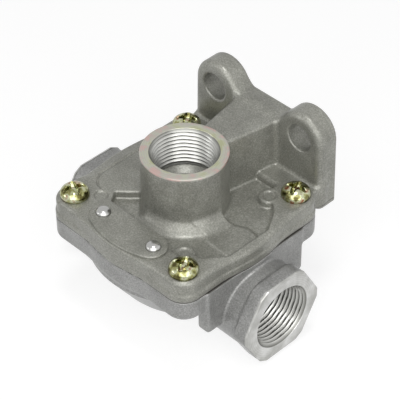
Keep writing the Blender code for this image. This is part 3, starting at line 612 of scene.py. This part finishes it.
MIX_A, MIX_B, MIX_RESULT = 6, 7, 2        # the colour sockets of a Mix node, which share their names
JOINT_SHADE_Z = -0.06                      # middle of the painted shade line at the joint of the castings
JOINT_SHADE_HALF = 0.16


def per_size(size):
    """The scale that draws a pattern's patches about this many millimetres wide."""
    return 1 / (size * MM)


def linear(hex_colour):
    """sRGB hex to the linear values that the shader takes."""
    channels = [int(hex_colour[i:i + 2], 16) / 255 for i in (0, 2, 4)]
    return tuple(c / 12.92 if c <= 0.04045 else ((c + 0.055) / 1.055) ** 2.4 for c in channels) + (1.0,)


def new_material(name, colour, metallic, roughness):
    """A material with its node tree and its shader, the plain values set on the shader."""
    material = bpy.data.materials.new(name)
    material.use_nodes = True
    tree = material.node_tree
    shader = tree.nodes["Principled BSDF"]
    shader.inputs["Base Color"].default_value = linear(colour)
    shader.inputs["Metallic"].default_value = metallic
    shader.inputs["Roughness"].default_value = roughness
    return material, tree, shader


def add(tree, kind, settings=None, values=None, links=None):
    """Adds one node: settings are its properties, values its plain inputs, links its linked inputs."""
    node = tree.nodes.new(kind)
    for key, value in (settings or {}).items():
        setattr(node, key, value)
    for key, value in (values or {}).items():
        node.inputs[key].default_value = value
    for key, socket in (links or {}).items():
        tree.links.new(socket, node.inputs[key])
    return node


def colour_ramp(tree, factor, stops):
    """A ramp between hex colours at the given positions."""
    ramp = add(tree, "ShaderNodeValToRGB", links={"Fac": factor})
    elements = ramp.color_ramp.elements
    while len(elements) < len(stops):
        elements.new(0.5)
    for element, (position, colour) in zip(elements, stops):
        element.position = position
        element.color = linear(colour)
    return ramp.outputs["Color"]


def blasted_casting(name, dark, plain, light, roughness):
    """Die-cast aluminium, blasted: a fine grey grain with soft clouds, neither shiny nor chalky."""
    material, tree, shader = new_material(name, plain, 0.3, roughness)
    place = add(tree, "ShaderNodeTexCoord").outputs["Object"]
    # Grit of 0.3 mm is drawn at 0.5 mm so that it shows in the render
    grain = add(tree, "ShaderNodeTexNoise", values={"Scale": per_size(0.5), "Detail": 3, "Roughness": 0.7},
                links={"Vector": place})
    # Clouds a nozzle's width across, 7.7 mm, where the blasting lay thicker or thinner
    cloud = add(tree, "ShaderNodeTexNoise", values={"Scale": per_size(7.7), "Detail": 3, "Roughness": 0.6},
                links={"Vector": place})
    mixed = add(tree, "ShaderNodeMath", {"operation": "MULTIPLY_ADD"}, {1: 0.45},
                {0: cloud.outputs["Fac"], 2: grain.outputs["Fac"]})
    tint = colour_ramp(tree, mixed.outputs[0], [(0.45, dark), (0.72, plain), (1.0, light)])
    # A dark line 0.3 mm wide is painted shade in the joint between the castings
    height = add(tree, "ShaderNodeSeparateXYZ", links={0: place})
    off = add(tree, "ShaderNodeMath", {"operation": "SUBTRACT"}, {1: (JOINT_SHADE_Z - ORIGIN[2]) * MM},
              {0: height.outputs["Z"]})
    off = add(tree, "ShaderNodeMath", {"operation": "ABSOLUTE"}, links={0: off.outputs[0]})
    inside = add(tree, "ShaderNodeMath", {"operation": "LESS_THAN"}, {1: JOINT_SHADE_HALF * MM},
                 {0: off.outputs[0]})
    joint = add(tree, "ShaderNodeMix", {"data_type": "RGBA"}, {MIX_B: linear("54524E")},
                {0: inside.outputs[0], MIX_A: tint})
    tree.links.new(joint.outputs[MIX_RESULT], shader.inputs["Base Color"])
    bump = add(tree, "ShaderNodeBump", values={"Strength": 0.15, "Distance": 0.00012},
               links={"Height": grain.outputs["Fac"]})
    tree.links.new(bump.outputs["Normal"], shader.inputs["Normal"])
    return material


def turned_metal(name, plain, tints, centre, axis):
    """Turned aluminium: bright, with faint tool rings and the patchy tints of a chromate film, and in the
    bore painted shade that darkens its thread from the crests to the roots."""
    material, tree, shader = new_material(name, plain, 0.85, 0.3)
    place = add(tree, "ShaderNodeTexCoord").outputs["Object"]
    moved = add(tree, "ShaderNodeVectorMath", {"operation": "SUBTRACT"}, {1: centre}, {0: place})
    split = add(tree, "ShaderNodeSeparateXYZ", links={0: moved.outputs[0]})
    one, two = [split.outputs[a] for a in ("X", "Y", "Z") if a != axis]
    flat = add(tree, "ShaderNodeCombineXYZ", links={0: one, 1: two})
    radius = add(tree, "ShaderNodeVectorMath", {"operation": "LENGTH"}, links={0: flat.outputs[0]})
    # A feed of 0.25 mm a turn is drawn at 0.7 mm so that the rings show
    rings = add(tree, "ShaderNodeMath", {"operation": "MULTIPLY"}, {1: 2 * math.pi / 0.0007},
                {0: radius.outputs["Value"]})
    wave = add(tree, "ShaderNodeMath", {"operation": "SINE"}, links={0: rings.outputs[0]})
    # The film lies in patches of 4.5 mm, greener towards the bore and pinker towards the rim, by 0.04 of
    # the ramp for each mm from the middle of the face
    film = add(tree, "ShaderNodeTexNoise", values={"Scale": per_size(4.545), "Detail": 3},
               links={"Vector": place})
    slope, middle = 0.04 / MM, (MOUTH_R + BOSS_R) / 2 * MM
    spread = add(tree, "ShaderNodeMath", {"operation": "MULTIPLY_ADD"}, {1: slope, 2: -slope * middle},
                 {0: radius.outputs["Value"]})
    film = add(tree, "ShaderNodeMath", {"operation": "ADD"},
               links={0: film.outputs["Fac"], 1: spread.outputs[0]})
    film = add(tree, "ShaderNodeMath", {"operation": "MULTIPLY_ADD"}, {1: 0.05},
               {0: wave.outputs[0], 2: film.outputs[0]})
    face_tint = colour_ramp(tree, film.outputs[0], tints)
    # Inside the mouth, painted shade: the thread darkens from its crests, at the metal's plain colour, to its
    # roots
    crest, root, mouth = THREAD_MINOR * MM, (THREAD_MAJOR + 0.25) * MM, (MOUTH_R - 0.1) * MM
    depth = add(tree, "ShaderNodeMapRange", values={"From Min": crest, "From Max": root},
                links={"Value": radius.outputs["Value"]})
    thread_root_shade = colour_ramp(tree, depth.outputs[0], [(0.0, "C4C4C0"), (0.45, "A6A6A2"), (1.0, "74746F")])
    outside = add(tree, "ShaderNodeMath", {"operation": "GREATER_THAN"}, {1: mouth},
                  {0: radius.outputs["Value"]})
    tint = add(tree, "ShaderNodeMix", {"data_type": "RGBA"},
               links={0: outside.outputs[0], MIX_A: thread_root_shade, MIX_B: face_tint})
    tree.links.new(tint.outputs[MIX_RESULT], shader.inputs["Base Color"])
    bump = add(tree, "ShaderNodeBump", values={"Strength": 0.3, "Distance": 0.00005},
               links={"Height": wave.outputs[0]})
    tree.links.new(bump.outputs["Normal"], shader.inputs["Normal"])
    return material


def passivated_zinc(name):
    """Zinc plate under yellow chromate: shiny, with patches from pale green to orange brown."""
    material, tree, shader = new_material(name, "A3A36B", 1.0, 0.16)
    place = add(tree, "ShaderNodeTexCoord").outputs["Object"]
    # Patches of 2.4 mm, as large as drops of the bath that dried on the head
    film = add(tree, "ShaderNodeTexNoise", values={"Scale": per_size(2.381), "Detail": 2},
               links={"Vector": place})
    tint = colour_ramp(tree, film.outputs["Fac"], [(0.34, "4F4B2C"), (0.44, "8F8E5E"), (0.56, "B8BCA0"),
                                                   (0.7, "8E5A40")])
    tree.links.new(tint, shader.inputs["Base Color"])
    return material


def plain_finish(name, colour, metallic, roughness, grain_size, grain_depth):
    """A finish of one colour with a fine grain in its surface: drawn steel of a rivet, where it only softens
    the highlight, or moulded rubber, where it gives a dull skin."""
    material, tree, shader = new_material(name, colour, metallic, roughness)
    place = add(tree, "ShaderNodeTexCoord").outputs["Object"]
    grain = add(tree, "ShaderNodeTexNoise", values={"Scale": per_size(grain_size), "Detail": 2},
                links={"Vector": place})
    bump = add(tree, "ShaderNodeBump", values={"Strength": 0.4, "Distance": grain_depth * MM},
               links={"Height": grain.outputs["Fac"]})
    tree.links.new(bump.outputs["Normal"], shader.inputs["Normal"])
    return material


# The object

casting = blasted_casting("blasted_die_casting", "6A6A64", "888880", "AAAAA2", 0.33)
casting_low = blasted_casting("blasted_die_casting_lower", "6F6F6D", "8C8C8A", "ADADAB", 0.33)
film_tints = [(0.36, "A9AB8C"), (0.46, "B6B6A6"), (0.54, "ACACA4"), (0.64, "BFA59E")]
plain_tints = [(0.3, "D0D0CE"), (0.7, "A8A8A4")]
inlet_metal = turned_metal("turned_aluminium_inlet", "C4C4C0", film_tints, tuple(-ORIGIN * MM), "Z")
port_centre = tuple((np.array([0, 0, PORT_Z]) - ORIGIN) * MM)
port_metal = turned_metal("turned_aluminium_port", "C4C4C0", plain_tints, port_centre, "X")
zinc = passivated_zinc("yellow_passivated_zinc")
sheet = blasted_casting("plain_aluminium_sheet", "6C6C66", "86867E", "A6A69E", 0.36)
bright = plain_finish("bright_drive_rivet", "A9A9A7", 1.0, 0.22, 0.6, 0.002)
rubber = plain_finish("moulded_nitrile_rubber", "1E1E1F", 0.0, 0.65, 0.3, 0.04)


def place_piece(obj, node=None):
    """Every new piece belongs to the housing; node names the CAD node that it takes the place of."""
    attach(obj, "housing")
    if node:
        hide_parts(node)


points, quads = skin(upper_field, (-33.6, -33.6, -2.2), (33.6, 40.8, 33.2), 0.5)
place_piece(mesh_object("upper_casting", points, quads, casting), "upper_housing")
points, quads = skin(lower_field, (-43.9, -33.6, -33.9), (43.9, 32.6, 0.6), 0.6)
place_piece(mesh_object("lower_casting", points, quads, casting_low), "lower_housing")

place_piece(threaded_face("inlet_thread", BOSS_TOP, round_edge, "inlet", inlet_metal))
for side in ("left", "right"):
    port = threaded_face(f"port_thread_{side}", PORT_FACE, collar_edge, side, port_metal)
    place_piece(port)

for where, turn in SCREW_TURNS.items():
    at = (SCREW_AT * (1 if "right" in where else -1), SCREW_AT * (1 if "rear" in where else -1))
    place_piece(screw_head(f"screw_{where}_head", at, turn, zinc), f"screw_{where}")
place_piece(rating_plate("rating_plate_blank", sheet), "rating_plate")
for side, sign in (("left", -1), ("right", 1)):
    rivet = rivet_head(f"rivet_{side}", (RIVET_X * sign, RIVET_Y), bright)
    place_piece(rivet, f"plate_rivet_{side}")
for node in ("diaphragm", "sealing_ring"):
    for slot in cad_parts[node].material_slots:
        slot.material = rubber


# Floor, light and camera

def seen_directly(tree):
    """1 for rays from the camera, a gloss or a clear material; 0 for the light that falls on things."""
    path = add(tree, "ShaderNodeLightPath").outputs
    seen = add(tree, "ShaderNodeMath", {"operation": "MAXIMUM"},
               links={0: path["Is Camera Ray"], 1: path["Is Glossy Ray"]})
    seen = add(tree, "ShaderNodeMath", {"operation": "MAXIMUM"},
               links={0: seen.outputs[0], 1: path["Is Transmission Ray"]})
    return seen.outputs[0]


def studio_surface(name):
    """Pale matt floor that shows white to the camera and in reflections, with a light shadow left in it."""
    material = bpy.data.materials.new(name)
    material.use_nodes = True
    tree = material.node_tree
    shader = tree.nodes["Principled BSDF"]
    seen = seen_directly(tree)
    tint = add(tree, "ShaderNodeMix", {"data_type": "RGBA"},
               {MIX_A: linear("F4F4F4"), MIX_B: linear("959595")}, {0: seen})
    tree.links.new(tint.outputs[MIX_RESULT], shader.inputs["Base Color"])
    shader.inputs["Roughness"].default_value = 1.0
    shader.inputs["Specular IOR Level"].default_value = 0.0
    shader.inputs["Emission Color"].default_value = (1, 1, 1, 1)
    glow = add(tree, "ShaderNodeMath", {"operation": "MULTIPLY"}, {1: 0.8}, {0: seen})
    tree.links.new(glow.outputs[0], shader.inputs["Emission Strength"])
    return material


FLOOR_HALF = 3000.0
floor_corners = np.array([(-1, -1, 0), (1, -1, 0), (1, 1, 0), (-1, 1, 0)]) * FLOOR_HALF + (0, 0, EXHAUST_FACE)
mesh_object("floor", floor_corners, [[0, 1, 2, 3]], studio_surface("white_floor"))

world = bpy.data.worlds.new("soft_studio")
bpy.context.scene.world = world
world.use_nodes = True
tree = world.node_tree
tree.nodes["Background"].inputs["Color"].default_value = (1, 1, 1, 1)
tree.links.new(seen_directly(tree), tree.nodes["Background"].inputs["Strength"])


LAMP_DISTANCE = 0.7           # in metres, from a point 30 mm above the floor
# Name, degrees round and up, width in metres, watts: fitted to the photo's brightness at some thirty spots
# with each lamp rendered alone, then set a little
LAMPS = [("camera_side", 45.8, 41, 0.9, 5.0), ("overhead", 45, 88, 0.18, 1.2),
         ("front_left", -38, 25, 0.2, 0.4), ("front", 0, 35, 0.5, 0.2), ("right", 135, 35, 0.5, 0.25),
         ("low_right", 85, 10, 0.5, 0.6)]


def direction(azimuth, elevation):
    """Unit vector from the valve: azimuth 0 is its front, 90 its right side."""
    a, e = math.radians(azimuth), math.radians(elevation)
    return Vector((math.sin(a) * math.cos(e), -math.cos(a) * math.cos(e), math.sin(e)))


for name, azimuth, elevation, size, watts in LAMPS:
    light = bpy.data.lights.new(name, "AREA")
    light.shape = "SQUARE"
    light.size = size
    light.energy = watts
    away = direction(azimuth, elevation)
    lamp = bpy.data.objects.new(name, light)
    bpy.context.scene.collection.objects.link(lamp)
    lamp.location = LAMP_DISTANCE * away + Vector((0, 0, 0.03))
    lamp.rotation_euler = (-away).to_track_quat("-Z", "Y").to_euler()

# The camera fitted to the photo's rims, screws and ear holes: angles in degrees, lengths in millimetres,
# the focal length in pixels of a picture PICTURE_W wide
AZIMUTH, ELEVATION, ROLL = 45.821, 41.127, -0.550
DISTANCE, FOCAL, SHIFT_X, SHIFT_Y, HEIGHT = 567.464, 1786.110, -4.724, 3.946, 10.694
PICTURE_W = 400
SENSOR_W = 36.0
back = direction(AZIMUTH, ELEVATION)
right = direction(AZIMUTH + 90, 0)
up = back.cross(right)
roll = math.radians(ROLL)
right, up = math.cos(roll) * right + math.sin(roll) * up, math.cos(roll) * up - math.sin(roll) * right
spot = DISTANCE * back - SHIFT_X * right - SHIFT_Y * up + Vector((0, 0, HEIGHT)) - Vector(ORIGIN)
camera_data = bpy.data.cameras.new("photo_camera")
camera_data.sensor_width = SENSOR_W
camera_data.lens = FOCAL * SENSOR_W / PICTURE_W
camera_data.clip_start = 0.01
camera = bpy.data.objects.new("photo_camera", camera_data)
bpy.context.scene.collection.objects.link(camera)
camera.matrix_world = Matrix.Translation(spot * MM) @ Matrix((right, up, back)).transposed().to_4x4()
bpy.context.scene.camera = camera
bpy.context.scene.view_settings.view_transform = "Standard"
